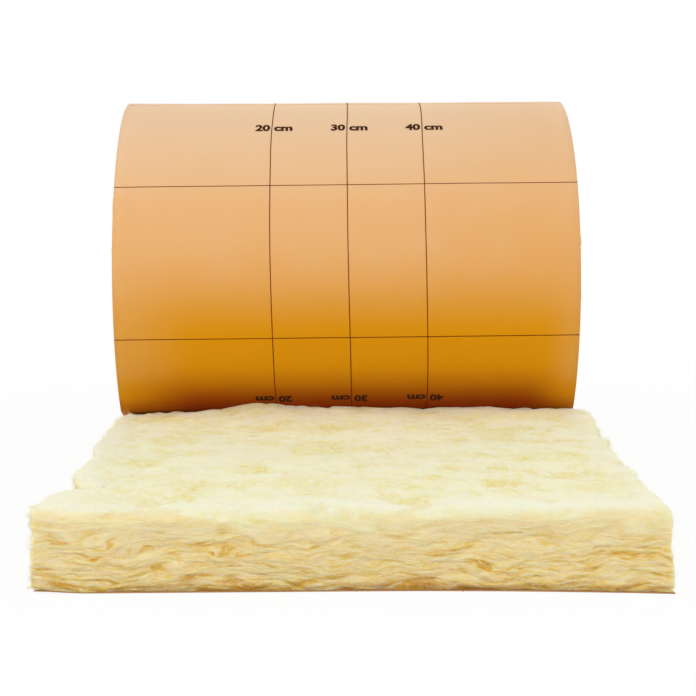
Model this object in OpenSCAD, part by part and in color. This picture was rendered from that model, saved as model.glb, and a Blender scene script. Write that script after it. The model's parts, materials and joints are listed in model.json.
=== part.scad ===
// Roll of glass wool insulation faced with kraft paper, partly unrolled.
// The blanket is wound with its facing outwards. Its free end lies flat on the
// floor, facing down, and the roll rests on the wool at the back of that tail.
// X runs along the roll's axis, the tail points to -Y, and the floor is Z = 0.
// The origin is the middle of the footprint.

/* [Blanket] */
// Width of the blanket, which is the length of the roll
blanket_w = 600; // [300:10:1200]
// Thickness of the relaxed wool in the tail
wool_t = 80; // [50:5:120]
// Thickness of the kraft facing
facing_t = 0.4; // [0.3:0.1:1.5]
// Rounding of the tail's cut wool edges
edge_r = 10; // [4:1:20]

/* [Roll] */
// Diameter of the roll over its facing
roll_d = 490; // [400:5:640]
// Diameter of the bore that the winding leaves in the middle
bore_d = 90; // [60:5:120]
// Rounding of the wool at both mouths of the bore
mouth_r = 12; // [4:1:20]
// Distance from turn to turn, where the wound wool is compressed
turn_pitch = 40; // [25:5:60]
// Width of the valley between two turns, on the ends of the roll
valley_w = 8; // [4:1:12]
// Depth of that valley
valley_d = 4; // [1:1:10]

/* [Tail] */
// Length of the unrolled tail, from below the roll's axis to its cut end
tail_l = 850; // [500:10:2000]
// Thickness that is left of the wool right below the roll's axis
seat_t = 45; // [30:5:50]

/* [Hidden] */
$fn = 96;

// How far cuts run past the ends of the roll
overcut = 1;
// Turning angle between two points of the wound facing
winding_step = 6;

roll_r = roll_d / 2;
wool_r = roll_r - facing_t;
bore_r = bore_d / 2;
tail_top = facing_t + wool_t;
axis_y = (tail_l - roll_r) / 2;

// The facing leaves the outside of the roll at the crease, where the roll meets
// the top of the tail. Angles are measured down from the roll's front.
crease_angle = asin((roll_r - tail_top) / roll_r);
seat_angle = 90 - crease_angle;
// The facing ends one turn's wool outside the bore.
wound_angle = 360 * (roll_r - seat_t - bore_r - turn_pitch) / turn_pitch;
winding_steps = ceil((seat_angle + wound_angle) / winding_step);

// Radius of the wound facing, at an angle past the crease: it sinks into the
// tail's wool as far as the seat, then tightens by one pitch a turn.
function seat_share(u) = u * (2 - u);
function winding_r(past) = past < seat_angle
    ? roll_r - seat_t * seat_share(past / seat_angle)
    : roll_r - seat_t - turn_pitch * (past - seat_angle) / 360;

// Point of the section at a radius and an angle down from the roll's front
function section_point(r, down) = [-r * cos(down), -r * sin(down)];

// Points along the wound facing, moved inwards by an inset
function winding_side(inset) = [
    for (i = [0 : winding_steps])
        let (past = (seat_angle + wound_angle) * i / winding_steps)
            section_point(winding_r(past) - inset, crease_angle + past)
];

function reversed(list) = [for (i = [len(list) - 1 : -1 : 0]) list[i]];

// Stands a section of Y and Z up across the blanket
module across(width) {
    rotate([90, 0, 90])
        linear_extrude(width, center = true)
            children();
}

// Moves a section from the roll's axis to its place over the floor
module at_roll() {
    translate([axis_y, roll_r])
        children();
}

// Outline of the facing inside the roll, with a margin on both sides of it
module winding_section(margin = 0) {
    polygon(concat(winding_side(-margin), reversed(winding_side(facing_t + margin))));
}

// Outline of the facing round the outside, open from the crease to the floor
module wrap_section() {
    difference() {
        circle(r = roll_r);
        circle(r = wool_r);
        polygon([[0, 0], section_point(roll_d, crease_angle), [0, -roll_d]]);
    }
}

// What rounding takes off a corner that points up and to the left
module corner_waste(r) {
    difference() {
        translate([-r, 0])
            square(2 * r);
        translate([r, 0])
            circle(r = r);
    }
}

// Side outline of the tail's wool, with its cut end rounded over at the top
module tail_side_section() {
    difference() {
        translate([axis_y - tail_l, facing_t])
            square([tail_l, wool_t]);
        translate([axis_y - tail_l, tail_top - edge_r])
            corner_waste(edge_r);
    }
}

// End outline of the tail's wool, rounded over along both sides
module tail_end_section() {
    difference() {
        translate([-blanket_w / 2, facing_t])
            square([blanket_w, wool_t]);
        for (side = [0, 1])
            mirror([side, 0])
                translate([-blanket_w / 2, tail_top - edge_r])
                    corner_waste(edge_r);
    }
}

module tail_wool() {
    intersection() {
        across(blanket_w)
            tail_side_section();
        translate([0, axis_y, 0])
            rotate([90, 0, 0])
                linear_extrude(tail_l)
                    tail_end_section();
    }
}

// The turned roll, with its bore rounded over at both mouths
module wound_wool() {
    translate([0, axis_y, roll_r])
        rotate([0, 90, 0])
            rotate_extrude()
                difference() {
                    translate([bore_r, -blanket_w / 2])
                        square([wool_r - bore_r, blanket_w]);
                    for (end = [0, 1])
                        mirror([0, end])
                            translate([bore_r, blanket_w / 2 - mouth_r])
                                corner_waste(mouth_r);
                }
}

// Valleys along the facing, in which its edges show on both ends of the roll
module end_valleys() {
    for (side = [-1, 1])
        translate([side * blanket_w / 2, 0, 0])
            across(2 * valley_d)
                at_roll()
                    winding_section((valley_w - facing_t) / 2);
}

// The whole blanket: the wound turns and the tail, parted by the facing
module glass_wool() {
    color("#efe2b2")
        difference() {
            union() {
                wound_wool();
                tail_wool();
            }
            across(blanket_w + 2 * overcut)
                at_roll()
                    winding_section();
            end_valleys();
        }
}

// One sheet: under the tail, up the back, over the top, down the front and in
module kraft_facing() {
    color("#e3ab69")
        across(blanket_w) {
            translate([axis_y - tail_l, 0])
                square([tail_l, facing_t]);
            at_roll() {
                wrap_section();
                winding_section();
            }
        }
}

glass_wool();
kraft_facing();
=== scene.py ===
"""Looks of a partly unrolled glass wool insulation roll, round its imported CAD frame."""

import json
import math

import bmesh
import bpy
import numpy as np
from mathutils import Matrix, Vector, noise


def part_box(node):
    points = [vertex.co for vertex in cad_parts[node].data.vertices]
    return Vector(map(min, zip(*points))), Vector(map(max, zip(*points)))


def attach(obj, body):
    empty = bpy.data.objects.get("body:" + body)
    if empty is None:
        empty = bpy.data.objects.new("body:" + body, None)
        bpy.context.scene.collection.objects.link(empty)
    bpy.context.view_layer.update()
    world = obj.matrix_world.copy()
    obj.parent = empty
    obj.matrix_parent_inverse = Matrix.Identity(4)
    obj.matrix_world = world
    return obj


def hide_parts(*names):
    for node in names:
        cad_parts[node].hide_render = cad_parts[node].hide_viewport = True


bl_info = {
    "name": "Insulation Roll",
    "version": (1, 0, 0),
    "blender": (4, 5, 0),
    "location": "View3D > Sidebar > Insulation",
    "description": "Makes a kraft-faced glass wool roll with its free end laid out flat",
    "category": "Add Mesh",
}

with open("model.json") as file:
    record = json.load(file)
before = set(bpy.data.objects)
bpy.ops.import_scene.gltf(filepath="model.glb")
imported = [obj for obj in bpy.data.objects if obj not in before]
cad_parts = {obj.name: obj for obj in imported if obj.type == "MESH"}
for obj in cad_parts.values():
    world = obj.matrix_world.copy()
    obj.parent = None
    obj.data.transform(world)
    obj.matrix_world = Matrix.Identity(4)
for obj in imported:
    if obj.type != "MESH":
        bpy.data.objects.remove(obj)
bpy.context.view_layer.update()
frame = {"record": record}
FACING_LOW, FACING_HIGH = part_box("kraft_facing")
WOOL_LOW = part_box("glass_wool")[0]
BORE = next(m for m in frame["record"]["mounts"] if m["name"] == "bore")

BLANKET_W = FACING_HIGH.x - FACING_LOW.x
HALF_W = BLANKET_W / 2
FACING_T = WOOL_LOW.z - FACING_LOW.z
AXIS_Y, AXIS_Z = BORE["pos_m"][1:]
ROLL_R = AXIS_Z
BORE_R = BORE["dims"]["r_mm"] / 1000
TAIL_L = AXIS_Y - FACING_LOW.y
PHOTO_PIXELS = 696
TURN = 2 * math.pi
# Lengths below this one count as none
NEAR = 1e-6
# How far the cells of one noise lie from those of the next
SEED_STEP = 17.31
# Spreads the middles of a noise's cells, so that each has a level of its own
LEVEL_STEP = 97.0
# Level that tufted noise has on the whole
TUFT_MEAN = 0.45
# What the numbers of every colour that a user can change have in common
RGB = {"size": 3, "min": 0, "max": 1}


class BlanketSizes(bpy.types.PropertyGroup):
    """Sizes of the blanket and of the way it is wound."""

    wool_t: bpy.props.FloatProperty(
        name="Wool thickness",
        description="Thickness of the relaxed wool in the tail",
        default=0.080,
        unit="LENGTH",
    )
    turn_pitch: bpy.props.FloatProperty(
        name="Turn pitch",
        description="Distance from turn to turn inside the roll",
        default=0.040,
        unit="LENGTH",
    )
    seat_t: bpy.props.FloatProperty(
        name="Seat thickness",
        description="Thickness of the wool right below the roll's axis",
        default=0.045,
        unit="LENGTH",
    )
    edge_r: bpy.props.FloatVectorProperty(
        name="Edge rounding",
        description="Rounding of the tail's upper wool edges across, along and up",
        default=(0.006, 0.018, 0.014),
        subtype="XYZ_LENGTH",
        size=3,
    )
    overhang: bpy.props.FloatProperty(
        name="Overhang",
        description="How far the tail's wool stands past the sides of the facing",
        default=0.004,
        unit="LENGTH",
    )
    curl: bpy.props.FloatProperty(
        name="Curl",
        description="How far the facing's cut edge curls up off the floor",
        default=0.0010,
        unit="LENGTH",
    )
    bulge: bpy.props.FloatProperty(
        name="End bulge",
        description="How far the wool of a turn swells past the facing's edge",
        default=0.004,
        unit="LENGTH",
    )


class WoolLook(bpy.types.PropertyGroup):
    """Colours and relief of the glass wool."""

    white: bpy.props.FloatVectorProperty(
        name="White wool",
        description="Colour of the tufts that stand proud",
        default=(0.855, 0.855, 0.70),
        subtype="COLOR",
        **RGB,
    )
    pale: bpy.props.FloatVectorProperty(
        name="Pale wool",
        description="Colour of the combed outer fibres",
        default=(0.85, 0.81, 0.51),
        subtype="COLOR",
        **RGB,
    )
    # Besides paler flakes, this colour paints highlights on the brightest fibre strands
    # and lights the upper part of a cut edge
    cream_flake_and_highlight: bpy.props.FloatVectorProperty(
        name="Cream wool",
        description="Colour of the paler flakes on a cut edge",
        default=(0.90, 0.80, 0.52),
        subtype="COLOR",
        **RGB,
    )
    # Besides yellow patches, this colour paints shade on the top towards the roll and in
    # its dents
    lemon: bpy.props.FloatVectorProperty(
        name="Lemon wool",
        description="Colour of the yellower patches on top",
        default=(0.77, 0.68, 0.23),
        subtype="COLOR",
        **RGB,
    )
    rose: bpy.props.FloatVectorProperty(
        name="Rosy wool",
        description="Colour of the warmer flakes on a cut edge",
        default=(0.89, 0.72, 0.50),
        subtype="COLOR",
        **RGB,
    )
    straw: bpy.props.FloatVectorProperty(
        name="Straw wool",
        description="Colour of the cut edges",
        default=(0.87, 0.70, 0.33),
        subtype="COLOR",
        **RGB,
    )
    # Painted shade: this orange-yellow fills the hollows and cracks of a cut edge, darkens
    # it towards the facing and deepens the dents on top; it also tints random stains
    amber_shade_and_stain: bpy.props.FloatVectorProperty(
        name="Amber wool",
        description="Colour deep between the layers, where the binder shows",
        default=(0.80, 0.52, 0.06),
        subtype="COLOR",
        **RGB,
    )
    # Painted shade: this brown darkens the deepest cracks of a cut edge and patches just
    # above the facing
    brown_shade: bpy.props.FloatVectorProperty(
        name="Rusty wool",
        description="Colour of the binder that has gathered above the facing",
        default=(0.66, 0.33, 0.03),
        subtype="COLOR",
        **RGB,
    )
    layer_t: bpy.props.FloatProperty(
        name="Layer thickness",
        description="Thickness of one layer of fibres on a cut edge",
        default=0.0045,
        unit="LENGTH",
    )
    layer_depth: bpy.props.FloatProperty(
        name="Layer relief",
        description="How far the deepest layers lie behind a cut edge",
        default=0.0055,
        unit="LENGTH",
    )
    tuft_h: bpy.props.FloatProperty(
        name="Tuft height",
        description="Height of the soft lumps on top of the tail",
        default=0.0050,
        unit="LENGTH",
    )


class FacingLook(bpy.types.PropertyGroup):
    """Colours of the kraft facing and of its printed ruling."""

    kraft: bpy.props.FloatVectorProperty(
        name="Kraft",
        description="Colour of the paper",
        default=(0.81, 0.43, 0.165),
        subtype="COLOR",
        **RGB,
    )
    # Painted highlight: the paper on top of the roll is paler where the light falls; the
    # same colour also mottles the paper in random clouds
    highlight_and_mottle: bpy.props.FloatVectorProperty(
        name="Faded kraft",
        description="Colour of the paper on top of the roll",
        default=(0.855, 0.605, 0.39),
        subtype="COLOR",
        **RGB,
    )
    # Painted shade: the paper low on the roll is deepened to this colour; a little of it
    # also mottles the paper's fibres
    deep: bpy.props.FloatVectorProperty(
        name="Deep kraft",
        description="Colour of the paper low on the roll",
        default=(0.74, 0.31, 0.004),
        subtype="COLOR",
        **RGB,
    )
    # Painted shade: this dark paper where it turns under the roll stands in for the
    # crease's shadow
    crease_shade: bpy.props.FloatVectorProperty(
        name="Paper at the crease",
        description="Colour of the paper where it turns under the roll",
        default=(0.31, 0.042, 0.003),
        subtype="COLOR",
        **RGB,
    )
    # Besides the print, this colour darkens the facing's cut edge as painted shade
    ink: bpy.props.FloatVectorProperty(
        name="Ink",
        description="Colour of the printed figures",
        default=(0.050, 0.015, 0.006),
        subtype="COLOR",
        **RGB,
    )
    line_ink: bpy.props.FloatVectorProperty(
        name="Line ink",
        description="Colour of the ruled lines",
        default=(0.180, 0.022, 0.001),
        subtype="COLOR",
        **RGB,
    )
    wave: bpy.props.FloatProperty(
        name="Waviness",
        description="How far the paper leaves a true cylinder",
        default=0.0010,
        unit="LENGTH",
    )
    line_w: bpy.props.FloatProperty(
        name="Line width",
        description="Width of a ruled line",
        default=0.0012,
        unit="LENGTH",
    )
    rule_gap: bpy.props.FloatProperty(
        name="Cross ruling",
        description="Distance between two lines across the blanket",
        default=0.2039,
        unit="LENGTH",
    )
    digit_h: bpy.props.FloatProperty(
        name="Digit height",
        description="Height of the printed figures",
        default=0.015,
        unit="LENGTH",
    )


class StageSetup(bpy.types.PropertyGroup):
    """Camera, light and floor."""

    eye: bpy.props.FloatVectorProperty(
        name="Camera",
        description="Place of the camera",
        default=(-0.0139, AXIS_Y - 2.4135, 0.3908),
        subtype="TRANSLATION",
        size=3,
    )
    turn: bpy.props.FloatVectorProperty(
        name="Pitch, yaw and roll",
        description="How far the camera looks down, to its right and leans over",
        default=(math.radians(5.854), math.radians(0.396), math.radians(-0.356)),
        subtype="EULER",
        size=3,
    )
    focal_px: bpy.props.FloatProperty(
        name="Focal length",
        description="Focal length in pixels of a square picture",
        default=1698.2,
    )
    floor: bpy.props.FloatVectorProperty(
        name="Floor",
        description="Colour of the floor and backdrop",
        default=(0.90, 0.90, 0.90),
        subtype="COLOR",
        **RGB,
    )


class Value:
    """A shader socket in a Python expression; each operation adds a Math node."""

    def __init__(self, shade, socket):
        self.shade = shade
        self.socket = socket

    def math(self, operation, *values):
        settings = {"operation": operation}
        return self.shade.node("ShaderNodeMath", settings, dict(enumerate(values)))

    def __add__(self, other):
        return self.math("ADD", self, other)

    def __sub__(self, other):
        return self.math("SUBTRACT", self, other)

    def __rsub__(self, other):
        return self.math("SUBTRACT", other, self)

    def __mul__(self, other):
        return self.math("MULTIPLY", self, other)

    __radd__ = __add__
    __rmul__ = __mul__

    def within(self, low, high):
        """0 below low, 1 above high, and a smooth ramp between them."""
        return self.shade.node(
            "ShaderNodeMapRange",
            {"interpolation_type": "SMOOTHSTEP"},
            {"Value": self, "From Min": low, "From Max": high},
        )


class Shade:
    """The node tree of a material or a world, built one node at a time."""

    def __init__(self, owner):
        self.owner = owner
        owner.use_nodes = True
        self.tree = owner.node_tree
        self.tree.nodes.clear()

    def node(self, kind, settings=None, inputs=None, output=0):
        made = self.tree.nodes.new(kind)
        for key, value in (settings or {}).items():
            setattr(made, key, value)
        for key, value in (inputs or {}).items():
            self.feed(made.inputs[key], value)
        return Value(self, made.outputs[output]) if made.outputs else None

    def feed(self, socket, value):
        if isinstance(value, Value):
            self.tree.links.new(value.socket, socket)
        else:
            socket.default_value = value

    def attribute(self, name, output):
        return self.node("ShaderNodeAttribute", {"attribute_name": name}, output=output)

    def parts(self, vector):
        """The three numbers of a vector."""
        return [
            self.node("ShaderNodeSeparateXYZ", inputs={0: vector}, output=o)
            for o in range(3)
        ]

    def vectors(self, operation, first, second):
        """Vector maths on two vectors."""
        settings = {"operation": operation}
        return self.node("ShaderNodeVectorMath", settings, {0: first, 1: second})

    def noise(self, place, stretch, detail=3.0, roughness=0.55):
        """Noise over a place, with one scale for each of its directions."""
        return self.node(
            "ShaderNodeTexNoise",
            inputs={
                "Vector": self.vectors("MULTIPLY", place, stretch),
                "Scale": 1.0,
                "Detail": detail,
                "Roughness": roughness,
            },
        )

    def flakes(self, place, stretch):
        """Flat cells over a place: how far in each point lies, and two chance levels."""
        inputs = {"Vector": self.vectors("MULTIPLY", place, stretch), "Scale": 1.0}
        rim = self.node(
            "ShaderNodeTexVoronoi", {"feature": "DISTANCE_TO_EDGE"}, inputs, "Distance"
        )
        level = self.node("ShaderNodeTexVoronoi", {"feature": "F1"}, inputs, "Color")
        return (rim.within(0.0, 0.25), *self.parts(level)[:2])

    def mix(self, share, first, second):
        """One colour going over into another."""
        names = ("A_Color", "B_Color", "Factor_Float")
        made = self.tree.nodes.new("ShaderNodeMix")
        made.data_type = "RGBA"
        sockets = {s.identifier: s for s in made.inputs}
        for name, value in zip(names, (first, second, share)):
            if name.endswith("Color") and not isinstance(value, Value):
                value = (*value, 1.0)
            self.feed(sockets[name], value)
        result = next(s for s in made.outputs if s.identifier == "Result_Color")
        return Value(self, result)

    def laid_over(self, colour, layers):
        """A colour under layers of others, each with the share that shows of it."""
        for share, over in layers:
            colour = self.mix(share, colour, over)
        return colour

    def shifted(self, place, swirl, reach):
        """A place pushed aside by a noise, for patterns that swirl."""
        away = self.vectors("MULTIPLY", swirl, (reach, reach, reach))
        return self.vectors("ADD", place, away)

    def bump(self, height, strength, distance):
        return self.node(
            "ShaderNodeBump",
            inputs={"Height": height, "Strength": strength, "Distance": distance},
        )

    def surface(self, inputs):
        """Ends the tree in a Principled surface with these inputs."""
        shader = self.node("ShaderNodeBsdfPrincipled", inputs=inputs)
        self.node("ShaderNodeOutputMaterial", inputs={"Surface": shader})
        return self.owner


def cells(points, cell, seed):
    """The points in cells of a noise, with one cell size for each direction."""
    return (points / np.asarray(cell) + seed * SEED_STEP).tolist()


def sample(points, cell, seed, octaves=1):
    """Fractal noise at each point."""
    placed = cells(points, cell, seed)
    return np.array([noise.fractal(p, 1.0, 2.0, octaves) for p in placed])


def tufted(points, cell, seed):
    """Rounded lumps parted by sharp notches, from 0 to about 1."""
    return np.sqrt(1.6 * np.abs(sample(points, cell, seed)))


def flakes(points, cell, seed):
    """Cells as flat as flakes of fibre: each one's level and how far its rim is."""
    levels, rims = [], []
    for point in cells(points, cell, seed):
        (nearest, second, *_), (centre, *_) = noise.voronoi(point)
        levels.append(0.5 + 0.5 * noise.cell(centre * LEVEL_STEP))
        rims.append(second - nearest)
    return np.array(levels), np.array(rims)


def ramp(values, low, high):
    """0 below low, 1 above high, and a smooth step between them."""
    share = np.clip((values - low) / (high - low), 0, 1)
    return share * share * (3 - 2 * share)


def hump(values, middle, half):
    """A round hump, 1 in the middle and almost 0 two half widths away."""
    return np.exp(-(((values - middle) / half) ** 2))


class Winding:
    """Where the blanket lies: flat in the tail, then turn by turn round the roll.

    A place on the blanket is across (from its middle), along (from the cut end of
    the tail) and deep (from the facing up into the wool). The turning angle starts
    below the roll's axis and grows up the back, over the top and down the front.
    """

    # Steps in the table of lengths, and in the seat below the roll
    STEPS = 2400
    SEAT_STEPS = 60
    # Gap round the bore, and how much of the last turn is as thick as that leaves
    BORE_GAP = 0.003
    LAST_SHARE = 0.7
    # How far the cut end runs askew, how much further it does so at the floor, up
    # to what height, and the length over which it straightens
    SKEW = 0.03
    SPLAY = 0.035
    SPLAY_H = 0.060
    SKEW_L = 0.30
    # Shares of the curl: all along the cut edge and what one corner adds, where that
    # corner lies, and how far in the curl reaches
    EDGE_CURL = 0.6
    CORNER_CURL = 2.4
    CORNER = (0.25, 0.30)
    CURL_L = 0.016
    # Lengths over which the paper starts to wave behind the roll, and stops in front
    WAVE_START = 0.15
    WAVE_STOP = 0.06

    def __init__(self, sizes):
        self.wool_t = sizes.wool_t
        self.seat_t = sizes.seat_t
        self.pitch = sizes.turn_pitch
        self.curl = sizes.curl
        self.top = FACING_T + self.wool_t
        crease_below_front = math.asin((ROLL_R - self.top) / ROLL_R)
        self.seat_angle = math.pi / 2 - crease_below_front
        self.crease_angle = TURN - self.seat_angle
        wound_turns = (ROLL_R - self.seat_t - BORE_R - self.pitch) / self.pitch
        self.end_angle = TURN * (1 + wound_turns)
        self.angles = np.linspace(0, self.end_angle, self.STEPS)
        steps = np.diff(self.angles) * self.facing_r(self.angles)[1:]
        self.lengths = TAIL_L + np.concatenate([[0], np.cumsum(steps)])
        self.length = self.lengths[-1]
        self.wrap_end = float(self.along_at(self.crease_angle))
        sinking = np.linspace(self.crease_angle, TURN, self.SEAT_STEPS)
        sunk_r = self.facing_r(sinking)
        self.sunk_y = TAIL_L + sunk_r * np.sin(sinking)
        self.sunk_z = ROLL_R - sunk_r * np.cos(sinking)
        self.crease_along = self.sunk_y[0]

    def facing_r(self, angle):
        """Radius of the facing's outer side at a turning angle."""
        sunk = np.clip((angle - self.crease_angle) / self.seat_angle, 0, 1)
        turns = np.maximum(angle / TURN - 1, 0)
        return ROLL_R - self.seat_t * sunk * (2 - sunk) - self.pitch * turns

    def inner_r(self, angle):
        """Radius of the wool's inner side; the last turn closes in on the bore."""
        next_turn = np.minimum(angle + TURN, self.end_angle)
        closed = self.end_angle - self.LAST_SHARE * TURN
        last = ramp(angle, self.end_angle - TURN, closed)
        return self.facing_r(next_turn) * (1 - last) + (BORE_R + self.BORE_GAP) * last

    def along_at(self, angle):
        return np.interp(angle, self.angles, self.lengths)

    def angle_at(self, along):
        return np.interp(along, self.lengths, self.angles)

    def tail_top(self, along):
        """Height of the tail's wool, which sinks under the roll past the crease."""
        return np.interp(along, self.sunk_y, self.sunk_z, left=self.top)

    def at_angle(self, across, radius, angle):
        y = AXIS_Y + radius * np.sin(angle)
        z = AXIS_Z - radius * np.cos(angle)
        return np.stack([across, y, z], axis=1)

    def wool(self, blanket):
        """Points of the frame for points of the blanket."""
        across, along, deep = blanket.T
        share = deep / self.wool_t
        flat_z = FACING_T + share * (self.tail_top(along) - FACING_T)
        low = 1 - ramp(deep, 0, self.SPLAY_H)
        flat = np.stack([across, self.flat_y(across, along, low), flat_z], axis=1)
        angle = self.angle_at(along)
        outer = self.facing_r(angle) - FACING_T
        radius = outer + share * (self.inner_r(angle) - outer)
        wound = self.at_angle(across, radius, angle)
        return np.where((along < TAIL_L)[:, None], flat, wound)

    def facing(self, across, along, lift):
        """Points at a height above the facing's outer side."""
        flat_y = self.flat_y(across, along, 1)
        flat = np.stack([across, flat_y, FACING_LOW.z - lift], axis=1)
        angle = self.angle_at(along)
        wound = self.at_angle(across, self.facing_r(angle) + lift, angle)
        return np.where((along < TAIL_L)[:, None], flat, wound)

    def curled(self, across, along):
        """How far the cut edge of the facing curls up, most of all at one corner."""
        share = self.EDGE_CURL + self.CORNER_CURL * ramp(-across, *self.CORNER)
        return self.curl * share * ramp(self.CURL_L - along, 0, self.CURL_L)

    def flat_y(self, across, along, low):
        """Where the tail's points lie; its cut end runs askew on one side, most below."""
        ahead = (self.SKEW + self.SPLAY * low) * np.maximum(across, 0) ** 2 / HALF_W
        return FACING_LOW.y + along - ahead * (1 - ramp(along, 0, self.SKEW_L))

    def on_roll(self, along):
        """1 on the outside of the roll, going over to 0 below it and at the crease."""
        start = ramp(along, TAIL_L, TAIL_L + self.WAVE_START)
        return start * (1 - ramp(along, self.wrap_end - self.WAVE_STOP, self.wrap_end))


def facing_wave(across, along, look, winding):
    """How far the paper stands off a true cylinder."""
    points = np.stack([across, along, np.zeros_like(along)], axis=1)
    slow = sample(points, (0.22, 0.16, 1.0), 3, octaves=2)
    wave = look.wave * slow * winding.on_roll(along)
    return wave - winding.curled(across, along)


def add_piece(name, mesh, material, replaced=()):
    """Shows a mesh as a piece of the object."""
    piece = bpy.data.objects.new(name, mesh)
    bpy.context.scene.collection.objects.link(piece)
    mesh.materials.clear()
    mesh.materials.append(material)
    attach(piece, "root")
    if replaced:
        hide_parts(*replaced)
    return piece


def mesh_from(bm, name):
    """Ends a bmesh as a smooth mesh."""
    for face in bm.faces:
        face.smooth = True
    mesh = bpy.data.meshes.new(name)
    bm.to_mesh(mesh)
    bm.free()
    return mesh


def read_points(mesh):
    points = np.empty(len(mesh.vertices) * 3)
    mesh.vertices.foreach_get("co", points)
    return points.reshape(-1, 3)


def write_points(mesh, points):
    mesh.vertices.foreach_set("co", np.ascontiguousarray(points, dtype=np.float32).ravel())
    mesh.update()


def note_vector(mesh, name, values):
    """Keeps one vector for each vertex, for the material."""
    kept = mesh.attributes.new(name, "FLOAT_VECTOR", "POINT")
    kept.data.foreach_set("vector", np.ascontiguousarray(values, dtype=np.float32).ravel())


def bar(low, high, cuts):
    """A box with a grid of faces on each of its sides."""
    low, high = Vector(low), Vector(high)
    bm = bmesh.new()
    bmesh.ops.create_cube(bm, size=1)
    bmesh.ops.scale(bm, vec=high - low, verts=bm.verts)
    bmesh.ops.translate(bm, vec=(low + high) / 2, verts=bm.verts)
    for axis, count in enumerate(cuts):
        lines = [e for e in bm.edges if abs((e.verts[0].co - e.verts[1].co)[axis]) > NEAR]
        bmesh.ops.subdivide_edges(bm, edges=lines, cuts=count - 1, use_grid_fill=True)
    return bm


def merge_flat_side(bm, axis, level):
    """Makes one face of a flat side that nothing shows of."""
    side = [
        f for f in bm.faces if all(abs(v.co[axis] - level) < NEAR for v in f.verts)
    ]
    for face in bmesh.ops.dissolve_faces(bm, faces=side)["region"]:
        for edge in face.edges:
            edge.smooth = False


def part_sides(bm):
    """Keeps the shading of a box's sides apart at its edges."""
    for edge in bm.edges:
        edge.smooth = edge.calc_face_angle() < 1


def rounded(points, low, high, radii):
    """Points of a box moved on to its rounded edges, and the way each faces."""
    core = np.clip(points, low + radii, high - radii)
    away = (points - core) / radii
    distance = np.linalg.norm(away, axis=1, keepdims=True)
    facing = away / np.maximum(distance, NEAR)
    return core + facing * radii, facing


def bent_layers(blanket):
    """The blanket's points with the waves of its layers taken into their depth."""
    bent = blanket.copy()
    bent[:, 2] += 0.0105 * sample(blanket, (0.085, 0.085, 0.045), 1)
    bent[:, 2] += 0.0058 * sample(blanket, (0.027, 0.027, 0.014), 2)
    return bent


def layer_relief(blanket, bent, look):
    """Relief of a cut edge: strands and flakes of fibre, some of them set far back.

    Returns how far each point lies behind the edge, how open the wool is there and how
    pale its flake is, all from 0 to 1. The material paints shade where the wool is open,
    and the open share is raised close to the facing.
    """
    thick, deep = look.layer_t, blanket[:, 2]
    level, rim = flakes(bent, (0.029, 0.029, 1.5 * thick), 24)
    small, small_rim = flakes(bent, (0.014, 0.014, 0.8 * thick), 25)
    strands = sample(bent, (0.019, 0.019, 0.9 * thick), 16, octaves=3)
    broken = ramp(sample(blanket, (0.016, 0.016, 0.007), 6), -0.15, 0.35)
    rims = 0.10 * (1 - ramp(rim, 0, 0.35)) + 0.08 * (1 - ramp(small_rim, 0, 0.35))
    sunk = 0.26 * (1 - level) + 0.16 * (1 - small) + broken * rims
    sunk += 0.36 * (0.5 - 0.9 * strands)
    # The edge is smoother towards the top, and roughest close to the facing
    smooth = 1 - 0.75 * ramp(deep, 0.050, 0.076)
    low = 1 - ramp(deep, 0.010, 0.030)
    gap = 0.54 * (1 - level) + 0.38 * (1 - small) - 0.16 * strands + 0.06 * low
    inside = 0.35 + 0.65 * ramp(rim, 0, 0.30)
    hollow = ramp(gap, 0.54, 0.84) * np.sqrt(smooth) * inside
    # Painted shade: close to the facing the flakes count as open, so that the material
    # darkens them
    lowest = 1 - ramp(deep, 0.002, 0.012)
    hollow = np.maximum(hollow, lowest * ramp(level, 0.40, 0.95) * 0.9)
    return sunk * smooth * (0.85 + 0.25 * low), hollow, 0.5 * (level + small)


def turned_lobes(blanket):
    """How far the lobes of a wound turn's edge stand out or lie back."""
    return 0.0050 * (tufted(blanket, (0.060, 0.060, 0.030), 7) - 0.5)


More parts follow.
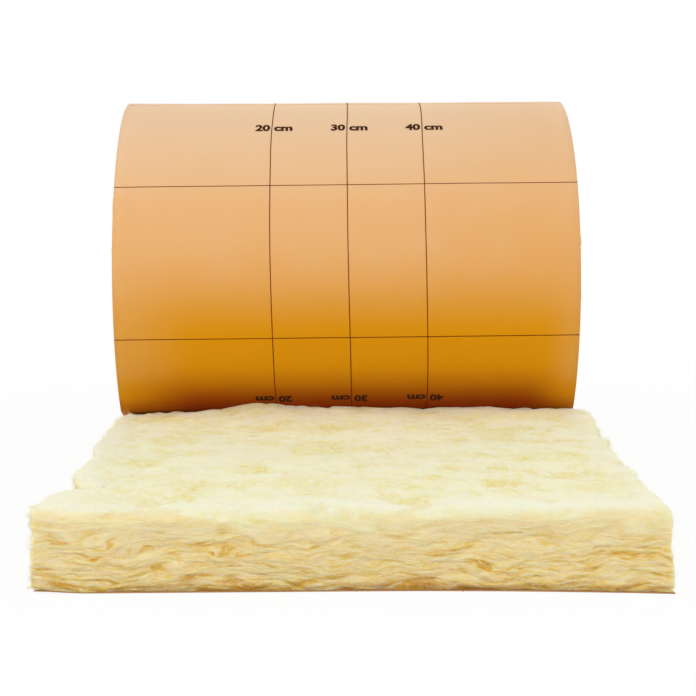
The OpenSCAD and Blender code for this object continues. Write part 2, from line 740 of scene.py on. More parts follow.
def wool_material(look):
    """Combed glass fibre: pale on top, straw on its cut edges, painted shade between the
    layers.
    """
    shade = Shade(bpy.data.materials.new("glass_wool"))
    place = shade.attribute("blanket", "Vector")
    hollow, cut, tint = shade.parts(shade.attribute("layer", "Vector"))
    _, along, depth = shade.parts(place)
    top = 1 - cut
    patches = shade.noise(place, (13, 13, 50), detail=4).within(0.46, 0.62)
    blots = shade.noise(place, (40, 30, 90), detail=3).within(0.50, 0.68)
    swirl = shade.noise(place, (24, 24, 24), detail=2)
    swirled = shade.shifted(place, swirl, 0.05)
    fleece = shade.noise(place, (130, 100, 130), detail=6, roughness=0.62)
    combed = shade.noise(swirled, (520, 60, 200), detail=3)
    waved = shade.shifted(place, swirl, 0.016)
    threads = shade.noise(waved, (80, 80, 700), detail=5, roughness=0.66)
    stains = shade.noise(place, (30, 30, 105), detail=3).within(0.54, 0.61)
    sheets, leaf, kind = shade.flakes(place, (90, 90, 560))
    # Brown patches just above the facing: painted shade
    low_brown_shade = shade.noise(place, (24, 24, 60), detail=3).within(0.50, 0.66)
    low_brown_shade = low_brown_shade * (1 - depth.within(0.004, 0.016)) * cut
    # Random yellow patches, more of them towards the roll: the increase is painted shade
    # from the roll
    yellow = (patches * 0.60 + blots * 0.55) * (0.85 + along.within(0.15, 0.55) * 0.45)
    # The dents on top are yellowed, partly as stains and partly as painted shade in the
    # dents
    dent_stain_and_shade = (hollow + (0.5 - fleece) * 0.8).within(0.0, 1.25) * top
    stained = stains * (0.28 + depth.within(0.020, 0.050) * 0.34)
    # Painted highlight on the brightest fibre strands, a little stronger low on a cut edge
    shine = 0.85 - depth.within(0.008, 0.040) * 0.15
    colour = shade.laid_over(
        look.pale,
        (
            (yellow, look.lemon),
            (dent_stain_and_shade, look.lemon),
            (fleece.within(0.46, 0.66) * 0.60, look.white),
            (cut * 0.85, look.straw),
            (stained * cut, look.amber_shade_and_stain),
            # Painted shade: a cut edge darker towards the facing
            ((1 - depth.within(0.0, 0.055)) * cut * 0.22, look.amber_shade_and_stain),
            (tint.within(0.45, 0.95) * cut * 0.50, look.cream_flake_and_highlight),
            (kind.within(0.45, 0.95) * cut * 0.45, look.rose),
            (tint * top * 0.60, look.white),
            (leaf.within(0.55, 1.0) * cut * 0.30, look.cream_flake_and_highlight),
            # Painted shade in the cracks between fibre strands
            ((1 - threads.within(0.34, 0.50)) * cut * 0.60, look.amber_shade_and_stain),
            (combed.within(0.52, 0.70) * top * 0.50, look.white),
            # Painted shade: the deepest dents on top darker still
            (dent_stain_and_shade.within(0.25, 1.1) * 0.28, look.amber_shade_and_stain),
            # Painted shade in the open wool of a cut edge
            (hollow * cut, look.amber_shade_and_stain),
            # Painted shade in the deepest cracks
            (hollow.within(0.45, 1.0) * cut * 0.45, look.brown_shade),
            # Painted shade just above the facing
            (low_brown_shade * 0.8, look.brown_shade),
            # Painted highlight on the brightest fibre strands
            (threads.within(0.53, 0.64) * cut * shine, look.cream_flake_and_highlight),
            # Painted light: the upper part of a cut edge lighter
            (depth.within(0.040, 0.066) * cut * 0.35, look.cream_flake_and_highlight),
        ),
    )
    fuzz = (fleece * 0.9 + combed * 0.45) * top
    fuzz = fuzz + (leaf * 0.30 + sheets * 0.15 + threads * 1.1) * cut
    return shade.surface(
        {
            "Base Color": colour,
            "Roughness": 0.95,
            "Specular IOR Level": 0.08,
            "Subsurface Weight": 0.70,
            "Subsurface Radius": (1.0, 0.75, 0.35),
            "Subsurface Scale": 0.008,
            "Sheen Weight": 0.20,
            "Sheen Roughness": 0.6,
            "Sheen Tint": (1.0, 0.97, 0.88, 1.0),
            "Normal": shade.bump(fuzz, 0.60, 0.0018),
        }
    )


def fibre_material(look):
    """Single loose fibres, as pale as the tufts."""
    shade = Shade(bpy.data.materials.new("loose_fibre"))
    place = shade.node("ShaderNodeTexCoord", output="Object")
    spread = shade.noise(place, (60, 60, 60), detail=2).within(0.35, 0.65)
    colour = shade.mix(spread, look.white, look.pale)
    return shade.surface({"Base Color": colour, "Roughness": 0.8})


def kraft_material(look):
    """Brown paper with a painted highlight on top of the roll and painted shade towards
    the crease.
    """
    shade = Shade(bpy.data.materials.new("kraft_paper"))
    place = shade.attribute("blanket", "Vector")
    # Shares of painted light: highlight on top, shade low on the roll, darker shade at the
    # crease
    upward, low, crease_shade = shade.parts(shade.attribute("tone", "Vector"))
    clouds = shade.noise(place, (11, 11, 11), detail=4, roughness=0.6)
    fibres = shade.noise(place, (900, 260, 900), detail=2)
    # Painted shade: the facing's cut edge under the wool, darkened with the ink colour
    edge_shade = 1 - shade.parts(place)[1].within(0.002, 0.016)
    colour = shade.laid_over(
        look.kraft,
        (
            # Painted highlight on top of the roll
            (upward, look.highlight_and_mottle),
            # Painted shade low on the roll
            (low, look.deep),
            # Painted shade at the crease
            (crease_shade, look.crease_shade),
            (edge_shade * 0.45, look.ink),
            (clouds.within(0.35, 0.70) * (1 - low) * 0.10, look.highlight_and_mottle),
            (fibres.within(0.50, 0.80) * 0.10, look.deep),
        ),
    )
    return shade.surface(
        {
            "Base Color": colour,
            "Roughness": 0.55 + fibres * 0.15,
            "Specular IOR Level": 0.05,
            "Normal": shade.bump(fibres, 0.10, 0.0004),
        }
    )


def ink_material(name, ink, kraft):
    """Matte printing ink, a little thin where the paper's fibres stand up."""
    shade = Shade(bpy.data.materials.new(name))
    place = shade.node("ShaderNodeTexCoord", output="Object")
    grain = shade.noise(place, (700, 700, 700), detail=2)
    thin = tuple(0.85 * i + 0.15 * k for i, k in zip(ink, kraft))
    colour = shade.mix(grain.within(0.50, 0.85), ink, thin)
    return shade.surface(
        {"Base Color": colour, "Roughness": 0.8, "Specular IOR Level": 0.05}
    )


class INSULATION_OT_facing(bpy.types.Operator):
    """Lays the kraft facing under the tail, round the roll and in between its turns"""

    bl_idname = "insulation.facing"
    bl_label = "Kraft facing"

    # Faces across, and the length of a face
    ACROSS = 40
    STEP = 0.008
    # Heights over the roll's axis, as shares of its radius, between which the paper gets a
    # painted highlight upwards and painted shade downwards
    HIGHLIGHT_SPAN = (0.20, 1.08)
    SHADE_SPAN = (-0.26, 0.26)
    # How much more of the painted-shade colour the right side gets, and between which
    # places across
    WARMTH = 0.13
    WARM_SIDE = (0.06, 0.26)
    # Distances past the crease over which the painted crease shade starts and ends, and
    # over which it is darkest
    FOOT_START = (-0.084, -0.004)
    FOOT_END = (0.05, 0.10)
    FOOT_NEAR = (-0.030, -0.006)
    # Widths of the roll's ends and of their rims, where the painted shade is lighter, how
    # much less of the low painted shade they have, up to which distance from the crease,
    # and how much less of the painted crease shade they have
    LEFT_END = 0.110
    RIGHT_END = 0.070
    RIM = 0.045
    LIGHTER = 0.32
    LIGHT_STOP = (-0.070, -0.030)
    LESS_CREASE_SHADE = 0.86

    def execute(self, context):
        winding = Winding(context.scene.blanket_sizes)
        look = context.scene.facing_look
        bm = bmesh.new()
        steps = round(winding.length / self.STEP)
        bmesh.ops.create_grid(bm, x_segments=self.ACROSS, y_segments=steps, size=0.5)
        mesh = mesh_from(bm, "kraft_facing_sheet")
        flat = read_points(mesh)
        across = flat[:, 0] * BLANKET_W
        along = (flat[:, 1] + 0.5) * winding.length
        wave = facing_wave(across, along, look, winding)
        write_points(mesh, winding.facing(across, along, wave))
        note_vector(mesh, "blanket", np.stack([across, along, 0 * along], axis=1))
        # Shares of painted highlight and shade over the paper, kept for the material
        note_vector(mesh, "tone", self.tone(winding, across, along))
        mesh.flip_normals()
        piece = add_piece(
            "kraft_facing_sheet", mesh, kraft_material(look), ["kraft_facing"]
        )
        thick = piece.modifiers.new("paper", "SOLIDIFY")
        thick.thickness = FACING_T
        thick.offset = -1
        return {"FINISHED"}

    def tone(self, winding, across, along):
        """Shares of painted light: highlight on top, shade low down, darker shade at the
        crease.
        """
        past = along - winding.wrap_end
        angle = winding.angle_at(along)
        height = np.where(angle < TURN, -np.cos(angle), 0) * ramp(angle, 0, 0.6)
        upward = ramp(height, *self.HIGHLIGHT_SPAN)
        low = ramp(-height, *self.SHADE_SPAN) * ramp(angle, 0.5 * TURN, 0.6 * TURN)
        low += self.WARMTH * ramp(across, *self.WARM_SIDE) * (1 - low)
        crease_shade = ramp(past, *self.FOOT_START) * (1 - ramp(past, *self.FOOT_END))
        left_end = ramp(-across, HALF_W - self.LEFT_END, HALF_W)
        right_end = ramp(across, HALF_W - self.RIGHT_END, HALF_W)
        rims = ramp(np.abs(across), HALF_W - self.RIM, HALF_W)
        light = np.maximum(rims, left_end * (1 - crease_shade))
        low *= 1 - self.LIGHTER * light * (1 - ramp(past, *self.LIGHT_STOP))
        near = 1 - 0.5 * ramp(past, *self.FOOT_NEAR)
        crease_shade *= 1 - self.LESS_CREASE_SHADE * np.maximum(left_end, right_end) * near
        return np.stack([upward, low, crease_shade], axis=1)


class INSULATION_OT_ruling(bpy.types.Operator):
    """Prints the measuring lines and their figures on the facing"""

    bl_idname = "insulation.ruling"
    bl_label = "Printed ruling"

    # The figures, and the places across of the lines that they stand at
    COLUMNS = (("20", -0.1), ("30", 0.0), ("40", 0.1))
    # How far the print lies off the paper
    LIFT = 0.00025
    # Distance of a cross line from the front of the roll
    FIRST_LINE = 0.1394
    # Rows of figures: the cross line of each four that they belong to, their
    # distance past it, -1 where they are upside down, their gaps on both sides of a
    # line along the blanket, and their stretch in width and height
    ROWS = (
        (0, -0.1083, 1, (0.0024, 0.0029), (0.93, 1.0)),
        (1, 0.0950, -1, (0.0037, 0.0018), (0.85, 0.7)),
    )
    REPEAT = 4
    # Width of the cross lines as a share of the others', and their slope
    CROSS_SHARE = 0.82
    TILT = 0.005
    # Faces in a line along the blanket, and in one across it
    LINE_CUTS = (1, 420)
    CROSS_CUTS = (60, 1)
    # Height of a digit in a typeface of size 1, and how much bolder it is drawn
    DIGIT_SHARE = 0.73
    BOLD = 0.06

    def strip(self, across, along, cuts):
        """A ruled line: the strip between two places across and along."""
        bm = bmesh.new()
        bmesh.ops.create_grid(bm, x_segments=cuts[0], y_segments=cuts[1], size=0.5)
        bmesh.ops.scale(
            bm, vec=(across[1] - across[0], along[1] - along[0], 1), verts=bm.verts
        )
        middle = ((across[0] + across[1]) / 2, (along[0] + along[1]) / 2, 0)
        bmesh.ops.translate(bm, vec=middle, verts=bm.verts)
        return mesh_from(bm, "line")

    def words(self, context, text, digit_h):
        """A flat mesh of a figure or a unit, with its lower left corner at zero."""
        curve = bpy.data.curves.new("figure", "FONT")
        curve.body = text
        curve.size = digit_h / self.DIGIT_SHARE
        curve.offset = digit_h * self.BOLD
        curve.resolution_u = 4
        holder = bpy.data.objects.new("figure", curve)
        context.scene.collection.objects.link(holder)
        context.view_layer.update()
        shape = holder.evaluated_get(context.evaluated_depsgraph_get())
        mesh = bpy.data.meshes.new_from_object(shape)
        bpy.data.objects.remove(holder)
        bpy.data.curves.remove(curve)
        points = read_points(mesh)
        points[:, 0] -= points[:, 0].min()
        write_points(mesh, points)
        return mesh

    def execute(self, context):
        winding = Winding(context.scene.blanket_sizes)
        look = context.scene.facing_look
        crease = winding.wrap_end
        front = float(winding.along_at(0.75 * TURN))
        half = look.line_w / 2
        half_cross = half * self.CROSS_SHARE
        lines, figures = bmesh.new(), bmesh.new()

        def place(mesh, printed):
            flat = read_points(mesh)
            across, along = self.askew(flat, front)
            lift = facing_wave(across, along, look, winding) + self.LIFT
            write_points(mesh, winding.facing(across, along, lift))
            printed.from_mesh(mesh)
            bpy.data.meshes.remove(mesh)

        for _, across in self.COLUMNS:
            sides = (across - half, across + half)
            place(self.strip(sides, (0, crease), self.LINE_CUTS), lines)
        upper = front - self.FIRST_LINE
        before = math.floor(upper / look.rule_gap)
        after = math.floor((crease - upper) / look.rule_gap)
        for row in range(-before, after + 1):
            along = upper + row * look.rule_gap
            sides = (along - half_cross, along + half_cross)
            place(self.strip((-HALF_W, HALF_W), sides, self.CROSS_CUTS), lines)
        for row in range(-before, after + 2):
            line = upper + row * look.rule_gap
            for every, beside, turned, gaps, stretch in self.ROWS:
                if row % self.REPEAT == every:
                    marks = (line + beside, turned, gaps, stretch)
                    for mesh in self.marks(context, look.digit_h, *marks):
                        place(mesh, figures)
        for name, printed, ink in (
            ("printed_lines", lines, look.line_ink),
            ("printed_figures", figures, look.ink),
        ):
            mesh = mesh_from(printed, name)
            mesh.flip_normals()
            add_piece(name, mesh, ink_material(name + "_ink", ink, look.kraft))
        return {"FINISHED"}

    def askew(self, flat, front):
        """Where the print really lies: it runs a little aslant on the blanket."""
        across, along = flat[:, 0], flat[:, 1]
        past = along - front
        inside = 1 - (across / HALF_W) ** 4
        drift = 0.0017 + 0.0042 * ramp(past, -0.10, 0.20)
        drift += 0.0019 * ramp(-past, 0.20, 0.32)
        drift -= 0.02 * across * ramp(past, 0.12, 0.24)
        return across + inside * drift, along - self.TILT * across

    def marks(self, context, digit_h, along, turned, gaps, stretch):
        """The meshes of a row of figures; turned is -1 for a row upside down."""
        width, height = stretch
        for figure, across in self.COLUMNS:
            for text, gap, before in ((figure, gaps[0], True), ("cm", gaps[1], False)):
                mesh = self.words(context, text, digit_h)
                points = read_points(mesh)
                points[:, 0] *= width if before else 1
                start = -gap - points[:, 0].max() if before else gap
                reading = points[:, 0] + start
                points[:, 0] = across + turned * reading
                points[:, 1] = along - turned * height * (points[:, 1] - digit_h / 2)
                write_points(mesh, points)
                yield mesh


class INSULATION_OT_tail(bpy.types.Operator):
    """Makes the wool of the unrolled tail, with its cut end and ragged sides"""

    bl_idname = "insulation.tail"
    bl_label = "Wool of the tail"

    # Faces across, along and up, and the share along that lies before the roll
    CUTS = (280, 140, 96)
    SHOWN_CUTS = 0.92
    # How far the open top goes on under the front of the roll
    COVERED = 0.02
    # Share of the edges' rounding low on the wool, and their rounding below the roll
    SLIM = 0.35
    UNDER_R = 0.003
    # Size of the tufts on the cut edges, and how far one may stand out
    RAGGED = 0.0042
    TUFT_REACH = 0.015
    # How far the foot of the cut end lies back, and how far the sides may swing out
    TUCK = 0.0030
    REACH = 0.0180
    # Heights between which the colour of a cut edge goes over into that of the top
    CUT_TOP = (0.058, 0.081)
    # Places along of the notch in the left side and of the waist behind it
    NOTCH = 0.118
    WAIST = 0.33
    # How far the rims of the dents stray
    ASTRAY = 0.016
    # Dents of the top: their places across and along, and half their sizes
    DENTS = (
        (0.235, 0.395, 0.060, 0.014),
        (-0.014, 0.330, 0.020, 0.012),
        (-0.015, 0.190, 0.018, 0.018),
        (0.110, 0.214, 0.024, 0.014),
        (0.170, 0.210, 0.026, 0.014),
        (0.075, 0.155, 0.028, 0.018),
        (0.225, 0.165, 0.040, 0.032),
    )

    def execute(self, context):
        sizes = context.scene.blanket_sizes
        look = context.scene.wool_look
        winding = Winding(sizes)
        low = np.array([-HALF_W, 0.0, 0.0])
        high = np.array([HALF_W, TAIL_L, sizes.wool_t])
        bm = bar(low, high, self.CUTS)
        merge_flat_side(bm, 2, 0.0)
        merge_flat_side(bm, 1, TAIL_L)
        mesh = mesh_from(bm, "glass_wool_tail")
        points = read_points(mesh)
        shown = winding.crease_along + self.COVERED
        points[:, 1] = np.interp(
            points[:, 1] / TAIL_L, (0, self.SHOWN_CUTS, 1), (0, shown, TAIL_L)
        )
        below, behind = np.array([0, 0, 1]), np.array([0, 1, 0])
        under = ramp(points[:, 1:2], winding.crease_along - self.COVERED, TAIL_L)
        slim = self.SLIM + (1 - self.SLIM) * ramp(points[:, 2:], 0.010, 0.050)
        radii = np.array(sizes.edge_r) * slim * (1 - under) + self.UNDER_R * under
        blanket, outward = rounded(points, low - below, high + behind, radii)
        across, along, deep = blanket.T
        under = under[:, 0]
        bent = bent_layers(blanket)
        sunk, hollow, tint = layer_relief(blanket, bent, look)
        tufts, dents = self.top_relief(blanket, look)
        upward = ramp(outward[:, 2], 0.15, 0.95)
        front = ramp(-outward[:, 1], 0.5, 0.9)
        open_top = 1 - ramp(along, winding.crease_along, shown)
        raised = (tufts + self.at_crease(blanket, winding)) * open_top
        raised -= 0.001 * (1 - open_top)
        ragged = self.RAGGED * (tufted(blanket, (0.030, 0.022, 0.014), 8) - TUFT_MEAN)
        ragged *= 1 - front * (0.4 + 0.5 * ramp(deep, 0.040, 0.064))
        lobes = ragged * (1 - under) + turned_lobes(blanket) * under
        sides = lobes - look.layer_depth * sunk
        sides = np.minimum(sides, self.TUFT_REACH * ramp(deep, 0, 0.005))
        lift = upward * raised + (1 - upward) * sides
        moved = blanket + outward * lift[:, None]
        moved[:, 0] += self.swing(blanket, sizes) * (1 - under)
        tuck = self.TUCK * ramp(across, -0.29, -0.20)
        moved[:, 1] += tuck * front * ramp(0.009 - deep, 0, 0.008)
        moved[:, 2] += winding.curled(across, along) * ramp(0.020 - deep, 0, 0.020)
        write_points(mesh, winding.wool(moved))
        note_vector(mesh, "blanket", bent)
        cut = self.cut_share(blanket, outward, under)
        rim = 0.8 * ramp(np.abs(across), HALF_W - 0.045, HALF_W - 0.008)
        rim = upward * np.maximum(rim, 1 - ramp(along, 0.010, 0.070))
        # The first number marks painted shade: the open wool of the cut edges, and the
        # dents on top, partly stains and partly painted shade
        layer = (hollow * cut + 0.90 * dents * upward, cut, tint * cut + rim)
        note_vector(mesh, "layer", np.stack(layer, axis=1))
        piece = add_piece(
            "glass_wool_tail",
            mesh,
            wool_material(look),
            ["glass_wool"],
        )
        return {"FINISHED"}

    def cut_share(self, blanket, outward, under):
        """How much each point is of a cut edge, which pales at the top and corners."""
        across, along, deep = blanket.T
        spill = sample(blanket, (0.055, 0.055, 0.020), 14, octaves=3)
        cut = 1 - ramp(deep + 0.014 * spill, *self.CUT_TOP)
        cut *= 1 - ramp(outward[:, 2], 0.60, 0.98)
        corner = ramp(np.abs(across), HALF_W - 0.010, HALF_W - 0.001)
        cut *= 1 - 0.55 * corner * ramp(0.020 - along, 0, 0.020)
        return np.maximum(cut, under * ramp(np.abs(outward[:, 0]), 0.3, 0.8))

    def swing(self, blanket, sizes):
        """How far the sides of the tail swing out or lie back, in ragged lobes."""
        side, along, deep = np.sign(blanket[:, 0]), blanket[:, 1], blanket[:, 2]
        right = side > 0
        rim = np.stack([side * HALF_W, along, deep], axis=1)
        lobes = 0.009 * sample(rim, (0.110, 0.075, 0.110), 7, octaves=2)
        lobes += 0.006 * (tufted(rim, (0.080, 0.060, 0.070), 13) - TUFT_MEAN)
        lobes += 0.0045 * (tufted(rim, (0.030, 0.018, 0.022), 17) - TUFT_MEAN)
        lobes *= 0.35 + 0.65 * ramp(along, 0.0, 0.08)
        flare = 0.018 * ramp(along, 0.42, 0.62) * right
        left_waist = 0.008 * ramp(along, 0.0, 0.05)
        left_waist += 0.014 * hump(along, self.WAIST, 0.070)
        right_waist = 0.003 + 0.002 * ramp(along, 0.0, 0.10)
        right_waist += 0.006 * ramp(along, 0.0, 0.02) * (1 - ramp(along, 0.12, 0.17))
        waist = np.where(right, right_waist, left_waist)
        width = np.where(along < self.NOTCH, 0.020, 0.055)
        notch = 0.030 * hump(along, self.NOTCH, width) * ~right
        notch *= ramp(deep, 0.010, 0.040)
        out = np.minimum(sizes.overhang + lobes + flare - waist - notch, self.REACH)
        out *= ramp(deep, 0, np.where(out > 0, 0.005, 0.012))
        return side * out * ramp(np.abs(blanket[:, 0]), HALF_W - 0.060, HALF_W - 0.008)

    def at_crease(self, blanket, winding):
        """How the wool swells up against the roll, and gives way at its ends."""
        across, along = blanket[:, 0], blanket[:, 1]
        swell = 0.0065 * hump(across, -0.075, 0.085)
        swell -= 0.0045 * ramp(-across, 0.17, 0.30) + 0.006 * ramp(across, 0.25, 0.31)
        swell += 0.004 * sample(blanket, (0.050, 0.090, 1.0), 12)
        crease = winding.crease_along
        return (swell + 0.001) * ramp(along, crease - 0.11, crease - 0.01)

    def top_relief(self, blanket, look):
        """Soft lumps of the tail's top, and from 0 to 1 its shallow dents."""
        lumps = sample(blanket, (0.085, 0.085, 1.0), 9, octaves=3)
        fluff = tufted(blanket, (0.030, 0.036, 1.0), 10) - TUFT_MEAN
        astray = [sample(blanket, (0.034, 0.034, 1.0), s, octaves=3) for s in (18, 19)]
        warped = blanket.copy()
        warped[:, :2] += self.ASTRAY * np.stack(astray, axis=1)
        dents = ramp(sample(warped, (0.060, 0.070, 1.0), 11, octaves=3), 0.15, 0.60)
        for across, along, half_across, half_along in self.DENTS:
            dent = hump(warped[:, 0], across, half_across)
            dents = np.maximum(dents, dent * hump(warped[:, 1], along, half_along))
        return look.tuft_h * (0.8 * lumps + 0.5 * fluff - 0.5 * dents), dents


class INSULATION_OT_turns(bpy.types.Operator):
    """Makes the wool of the wound turns, from below the roll in to the bore"""

    bl_idname = "insulation.turns"
    bl_label = "Wool of the turns"

    # Faces across, along and through the wool
    CUTS = (24, 720, 38)
    # Gap that keeps the wool off the facing on both of its sides
    CLEARANCE = 0.0020
    # Height of the lumps in the bore
    LUMP_H = 0.007
    # How much the wool between the turns looks like a cut edge
    INNER_CUT = 0.9
    # Length over which the turns go on from the tail, and distances from the end
    # of the blanket between which the lumps grow to their full height
    START_L = 0.05
    LUMPS_FROM = 0.45
    LUMPS_FULL = 0.30

    def execute(self, context):
        sizes = context.scene.blanket_sizes
        look = context.scene.wool_look
        winding = Winding(sizes)
        low = (-HALF_W, TAIL_L, 0.0)
        high = (HALF_W, winding.length, sizes.wool_t)
        bm = bar(low, high, self.CUTS)
        part_sides(bm)
        mesh = mesh_from(bm, "glass_wool_turns")
        blanket = read_points(mesh)
        share = blanket[:, 2] / sizes.wool_t
        outward = np.sign(blanket[:, 0]) * (np.abs(blanket[:, 0]) > HALF_W - NEAR)
        bent = bent_layers(blanket)
        sunk, hollow, tint = layer_relief(blanket, bent, look)
        end = np.abs(outward)
        swell = sizes.bulge * (1.5 * (1 - (2 * share - 1) ** 4) - 0.8)
        lobes = turned_lobes(blanket)
        start = 1 - ramp(blanket[:, 1], TAIL_L, TAIL_L + self.START_L)
        swell *= 1 - start
        blanket[:, 0] += outward * (swell + lobes - look.layer_depth * sunk)
        clearance = self.CLEARANCE * (1 - start)
        blanket[:, 2] = clearance + share * (sizes.wool_t - 2 * clearance)
        left = winding.length - blanket[:, 1]
        last = 1 - ramp(left, self.LUMPS_FULL, self.LUMPS_FROM)
        lumps = tufted(blanket, (0.055, 0.055, 1.0), 15) * ramp(share, 0.9, 1.0)
        blanket[:, 2] -= self.LUMP_H * lumps * (0.25 + 0.75 * last) * (1 - start)
        write_points(mesh, winding.wool(blanket))
        note_vector(mesh, "blanket", bent)
        cut = np.maximum(end, self.INNER_CUT)
        tint = np.where(end > 0, tint, 1)
        # The first number marks painted shade in the open wool of the turns' ends
        note_vector(mesh, "layer", np.stack([hollow * end, cut, tint], axis=1))
        piece = add_piece(
            "glass_wool_turns",
            mesh,
            bpy.data.materials["glass_wool"],
            ["glass_wool"],
        )
        return {"FINISHED"}


class INSULATION_OT_fibres(bpy.types.Operator):
    """Stands loose fibres up on the wool"""

    bl_idname = "insulation.fibres"
    bl_label = "Loose fibres"

    SEED = 5
    # How far past the sides a fibre may reach, and the least height of its points
    REACH = 0.020
    OFF_FLOOR = 0.0005
    # How deep a fibre is rooted, and half its thickness
    ROOTED = 0.0008
    HALF_THICK = 0.00007
    # How far the fibres of a wisp turn and lie from each other
    SPREAD = 0.30
    WISP_R = 0.0012
    # Distance that loose fibres keep from the roll, and the least height of those on top
    CREASE_GAP = 0.03
    TOP_H = 0.060
    # How far in from the sides and the cut end, and from which height, edges are cut ones
    SIDE_IN = 0.020
    FRONT_IN = 0.012
    CUT_H = 0.006
    # How far a fibre bends aside, and what its outer half keeps of the rise
    BEND = 0.5
    TIP_RISE = 0.4

    def execute(self, context):
        chance = np.random.default_rng(self.SEED)
        material = fibre_material(context.scene.wool_look)
        tail = bpy.data.objects["glass_wool_tail"].data
        turns = bpy.data.objects["glass_wool_turns"].data
        tail_points, turn_points = read_points(tail), read_points(turns)
        tail_cut, turn_cut = self.on_cut(tail_points), self.on_cut(turn_points)
        crease_y = FACING_LOW.y + Winding(context.scene.blanket_sizes).crease_along
        before_roll = tail_points[:, 1] < crease_y - self.CREASE_GAP
        tail_top = (tail_points[:, 2] > self.TOP_H) & ~tail_cut & before_roll
        tail_rim = tail_cut & (np.abs(tail_points[:, 0]) > HALF_W) & before_roll
        for name, mesh, where, count, wisp, length, rise in (
            ("tail_fringe", tail, tail_cut, 16000, 1, (0.003, 0.009), (0.2, 1.4)),
            ("tail_wisps", tail, tail_rim, 180, 20, (0.004, 0.010), (0.3, 1.2)),
            ("tail_fleece", tail, tail_top, 8000, 1, (0.008, 0.020), (0.0, 0.2)),
            ("turns_fringe", turns, turn_cut, 10000, 1, (0.003, 0.008), (0.1, 0.9)),
        ):
            roots = chance.choice(np.flatnonzero(where), count)
            fibres = self.spikes(name, mesh, roots, wisp, chance, length, rise)
            add_piece(name, fibres, material)
        return {"FINISHED"}

    def on_cut(self, points):
        """Which points lie on the wool's cut edges, clear of the floor."""
        aside = np.abs(points[:, 0]) > HALF_W - self.SIDE_IN
        in_front = points[:, 1] < FACING_LOW.y + self.FRONT_IN
        return (aside | in_front) & (points[:, 2] > self.CUT_H)

    def spikes(self, name, mesh, roots, wisp, chance, length, rise):
        """One mesh of all the fibres: each a thin bent spike on three sides.

        As many fibres as wisp says stand on each root and lie much the same way.
        """
        out = np.empty(len(mesh.vertices) * 3)
        mesh.vertices.foreach_get("normal", out)
        start, out = read_points(mesh)[roots], out.reshape(-1, 3)[roots]
        lying = chance.normal(size=(len(roots), 3))
        rise = chance.uniform(*rise, (len(roots), 1))
        start, out, lying, rise = (
            np.repeat(each, wisp, axis=0) for each in (start, out, lying, rise)
        )
        count = len(start)
        if wisp > 1:
            lying = lying + chance.normal(0, self.SPREAD, (count, 3))
            start = start + chance.normal(0, self.WISP_R, (count, 3))
        lying = self.unit(lying - out * np.sum(lying * out, axis=1, keepdims=True))
        across = np.cross(lying, out)
        half = chance.uniform(*length, (count, 1)) / 2
        bend = chance.normal(0, self.BEND, (count, 1))
        heading = self.unit(lying + out * rise)
        middle = self.within_reach(start + heading * half)
        ahead = self.unit(lying + across * bend + out * rise * self.TIP_RISE)
        tip = self.within_reach(middle + ahead * half)
        beside = np.cross(heading, across)
        rings = []
        for centre in (start - out * self.ROOTED, middle):
            for corner in range(3):
                angle = TURN * corner / 3
                side = across * math.cos(angle) + beside * math.sin(angle)
                rings.append(centre + side * self.HALF_THICK)
        points = np.stack([*rings, tip], axis=1)
        faces = [(0, 2, 1)]
        for corner in range(3):
            after = (corner + 1) % 3
            faces.append((corner, after, 3 + after, 3 + corner))
            faces.append((3 + corner, 3 + after, 6))
        every = [
            tuple(7 * fibre + point for point in face)
            for fibre in range(count)
            for face in faces
        ]
        joined = bpy.data.meshes.new(name)
        joined.from_pydata(points.reshape(-1, 3), [], every)
        return joined

    def unit(self, vectors):
        return vectors / np.linalg.norm(vectors, axis=1, keepdims=True)

    def within_reach(self, points):
        """Points held near the blanket's sides and off the floor."""
        limit = HALF_W + self.REACH
        points[:, 0] = np.clip(points[:, 0], -limit, limit)
        points[:, 2] = np.maximum(points[:, 2], self.OFF_FLOOR)
        return points


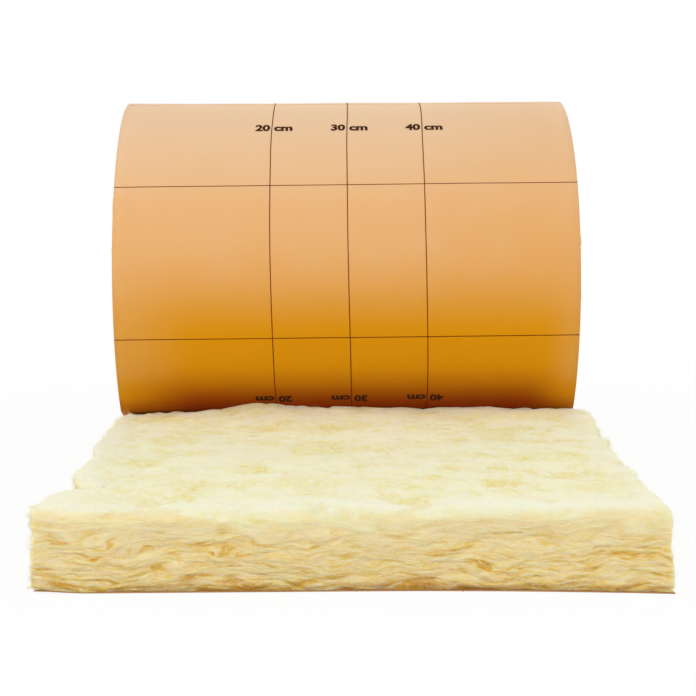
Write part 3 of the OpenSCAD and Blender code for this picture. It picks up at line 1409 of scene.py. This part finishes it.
class INSULATION_OT_stage(bpy.types.Operator):
    """Sets up the floor, the light and the camera"""

    bl_idname = "insulation.stage"
    bl_label = "Stage"

    # Name, place, width and height, and power
    LAMPS = (
        ("key_light", (-0.3, -2.4, 2.0), (2.8, 2.0), 52.0),
        ("top_light", (0.1, 0.0, 2.8), (2.4, 2.0), 3.0),
        ("back_light", (0.5, 2.7, 1.9), (2.4, 1.8), 26.0),
        ("left_light", (-2.6, 0.2, 1.3), (1.8, 1.4), 23.0),
        ("right_light", (2.6, 0.2, 1.3), (1.8, 1.4), 23.0),
    )
    # What all the lamps point at, and the strength of the light from all round
    AIM = Vector((0, 0, 0.2))
    AMBIENT = 0.32
    # Half the floor's side, its own white near the part, and where that becomes full
    FLOOR_HALF = 6.0
    FLOOR_WHITE = 0.92
    FADE = (0.7, 1.7)
    SENSOR_MM = 36.0

    def execute(self, context):
        setup = context.scene.stage_setup
        self.floor(setup)
        self.world(context)
        for name, place, size, power in self.LAMPS:
            self.lamp(context, name, place, size, power)
        self.camera(context, setup)
        context.scene.view_settings.view_transform = "Standard"
        return {"FINISHED"}

    def seen(self, shade):
        """1 for what the camera sees, directly or in a reflection."""
        camera, glossy, through = (
            shade.node("ShaderNodeLightPath", output=o)
            for o in ("Is Camera Ray", "Is Glossy Ray", "Is Transmission Ray")
        )
        return camera.math("MAXIMUM", camera.math("MAXIMUM", camera, glossy), through)

    def floor(self, setup):
        bm = bmesh.new()
        bmesh.ops.create_grid(bm, x_segments=8, y_segments=8, size=self.FLOOR_HALF)
        floor = bpy.data.objects.new("floor", mesh_from(bm, "floor"))
        bpy.context.scene.collection.objects.link(floor)
        shade = Shade(bpy.data.materials.new("floor_white"))
        place = shade.node("ShaderNodeTexCoord", output="Object")
        away = shade.node("ShaderNodeVectorMath", {"operation": "LENGTH"}, {0: place}, 1)
        full = away.within(*self.FADE)
        fade = self.FLOOR_WHITE + (1 - self.FLOOR_WHITE) * full
        paint = shade.node("ShaderNodeBsdfDiffuse", inputs={"Color": (*setup.floor, 1)})
        white = shade.node(
            "ShaderNodeEmission", inputs={"Color": (1, 1, 1, 1), "Strength": 1}
        )
        both = shade.node(
            "ShaderNodeMixShader", inputs={0: fade * self.seen(shade), 1: paint, 2: white}
        )
        shade.node("ShaderNodeOutputMaterial", inputs={"Surface": both})
        floor.data.materials.append(shade.owner)

    def world(self, context):
        shade = Shade(bpy.data.worlds.new("studio"))
        context.scene.world = shade.owner
        level = self.AMBIENT + (1 - self.AMBIENT) * self.seen(shade)
        light = shade.node(
            "ShaderNodeBackground", inputs={"Color": (1, 1, 1, 1), "Strength": level}
        )
        shade.node("ShaderNodeOutputWorld", inputs={"Surface": light})

    def lamp(self, context, name, place, size, power):
        data = bpy.data.lights.new(name, "AREA")
        data.shape = "RECTANGLE"
        data.size, data.size_y = size
        data.energy = power
        lamp = bpy.data.objects.new(name, data)
        lamp.location = place
        aim = self.AIM - Vector(place)
        lamp.rotation_euler = aim.to_track_quat("-Z", "Y").to_euler()
        context.scene.collection.objects.link(lamp)

    def camera(self, context, setup):
        data = bpy.data.cameras.new("camera")
        data.sensor_width = self.SENSOR_MM
        data.lens = setup.focal_px * data.sensor_width / PHOTO_PIXELS
        camera = bpy.data.objects.new("camera", data)
        pitch, yaw, roll = setup.turn
        camera.matrix_world = (
            Matrix.Translation(Vector(setup.eye))
            @ Matrix.Rotation(-yaw, 4, "Z")
            @ Matrix.Rotation(math.pi / 2 - pitch, 4, "X")
            @ Matrix.Rotation(roll, 4, "Z")
        )
        context.scene.collection.objects.link(camera)
        context.scene.camera = camera


class INSULATION_PT_parts(bpy.types.Panel):
    """Lists the pieces of the insulation roll"""

    bl_label = "Insulation Roll"
    bl_idname = "INSULATION_PT_parts"
    bl_space_type = "VIEW_3D"
    bl_region_type = "UI"
    bl_category = "Insulation"

    def draw(self, context):
        for operator in OPERATORS:
            self.layout.operator(operator.bl_idname)


SETTINGS = {
    "blanket_sizes": BlanketSizes,
    "wool_look": WoolLook,
    "facing_look": FacingLook,
    "stage_setup": StageSetup,
}
OPERATORS = (
    INSULATION_OT_facing,
    INSULATION_OT_ruling,
    INSULATION_OT_tail,
    INSULATION_OT_turns,
    INSULATION_OT_fibres,
    INSULATION_OT_stage,
)
CLASSES = (*SETTINGS.values(), *OPERATORS, INSULATION_PT_parts)


def register():
    for each in CLASSES:
        bpy.utils.register_class(each)
    for name, group in SETTINGS.items():
        setattr(bpy.types.Scene, name, bpy.props.PointerProperty(type=group))


def unregister():
    for name in SETTINGS:
        delattr(bpy.types.Scene, name)
    for each in reversed(CLASSES):
        bpy.utils.unregister_class(each)


def main():
    register()
    bpy.ops.insulation.facing()
    bpy.ops.insulation.ruling()
    bpy.ops.insulation.tail()
    bpy.ops.insulation.turns()
    bpy.ops.insulation.fibres()
    bpy.ops.insulation.stage()


if __name__ == "__main__":
    main()
